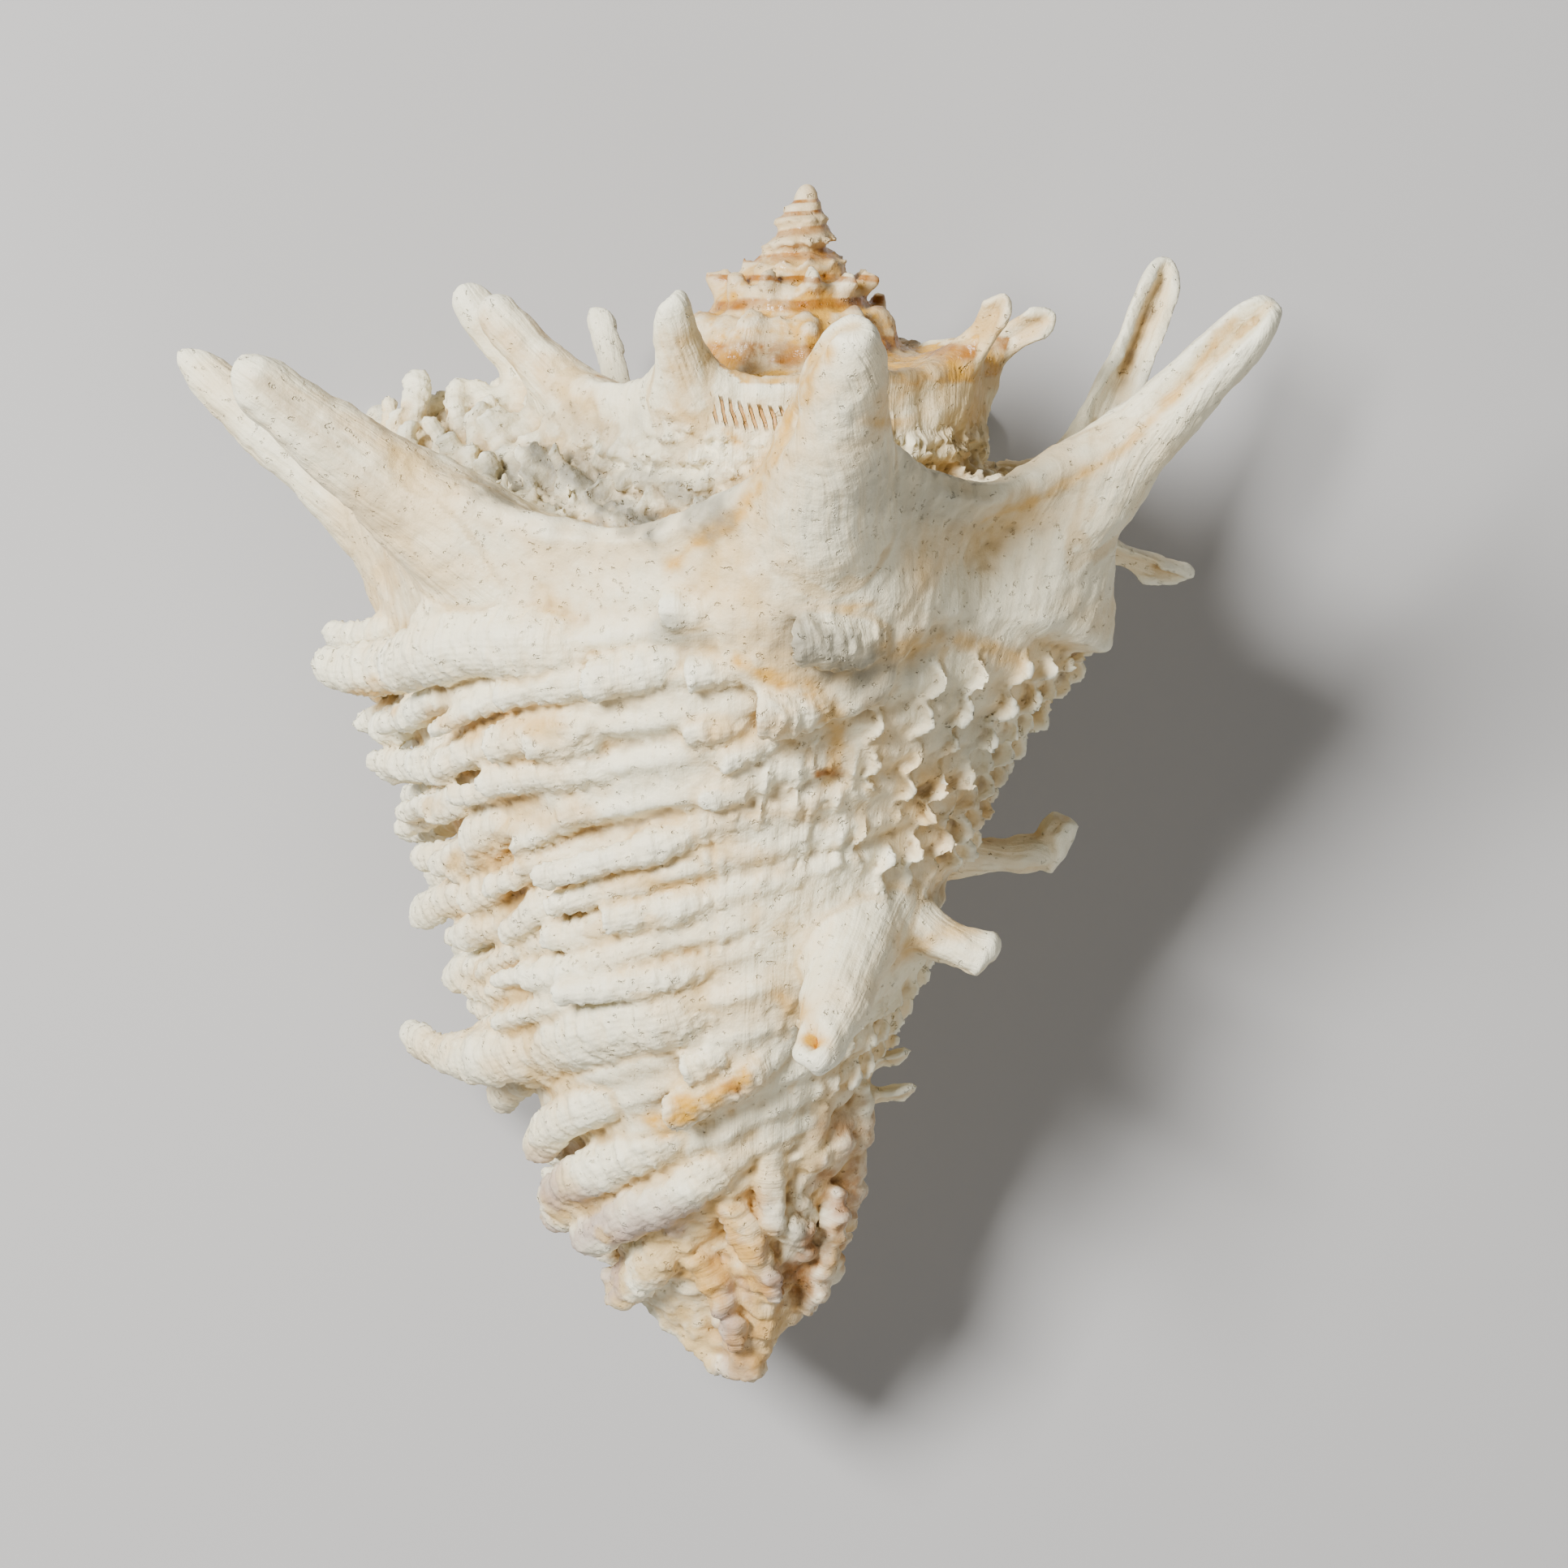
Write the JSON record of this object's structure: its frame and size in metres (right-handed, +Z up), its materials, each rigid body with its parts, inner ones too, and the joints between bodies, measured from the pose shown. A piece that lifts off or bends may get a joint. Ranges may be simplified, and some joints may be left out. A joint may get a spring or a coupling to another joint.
{
  "type": "spiny vase shell",
  "caption": "Heavy right-handed sea shell lying on its opening, with long fluted shoulder spines, ribs of overlapping scales and a short pointed spire.",
  "frame": {"origin": "centre of the bounding box on the floor the shell lies on", "axes": "+Z up, the shell's back looks up; +Y to the spire's tip, -Y to the canal's end; the outer lip is at -X"},
  "size_m": [0.133, 0.148, 0.1209],
  "materials": {
    "shell": "chalky shell lime, cream white with pale orange stains"
  },
  "bodies": {
    "root": {"shell": "shell"}
  },
  "joints": []
}
